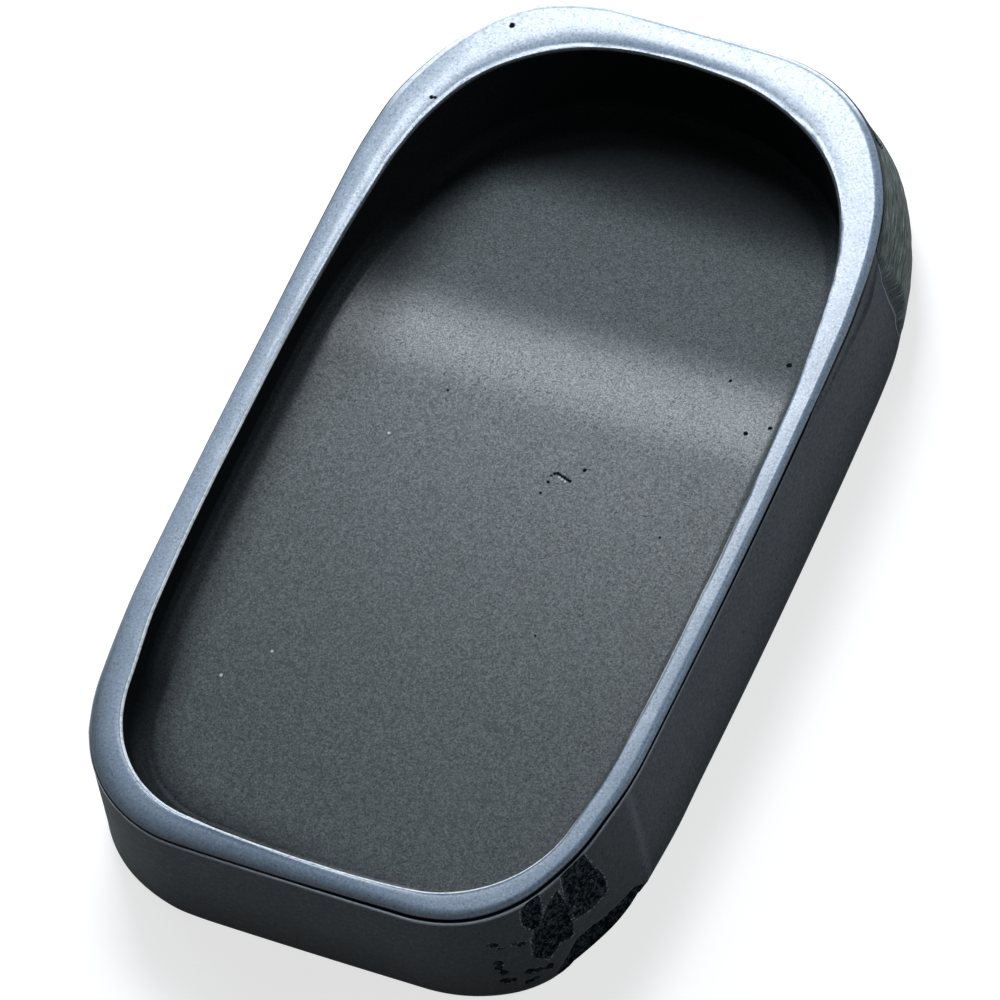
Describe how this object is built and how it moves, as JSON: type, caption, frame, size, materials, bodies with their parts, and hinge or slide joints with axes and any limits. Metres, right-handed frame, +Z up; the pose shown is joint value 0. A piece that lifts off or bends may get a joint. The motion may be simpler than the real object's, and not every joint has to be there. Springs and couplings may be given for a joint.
{
  "type": "ink stone",
  "caption": "Carved slate ink stone: a flat-bottomed block with a rolled rim, a level grinding field, a slope and a deep pond for ink.",
  "frame": {"origin": "middle of the flat underside", "axes": "+Y along the long side to the far, pond end; +Z up out of the well; +X to the writer's right"},
  "size_m": [0.0768, 0.1354, 0.0194],
  "materials": {
    "slate": "ground slate with a waxed rim"
  },
  "bodies": {
    "root": {"ink_stone": "slate"}
  },
  "joints": []
}
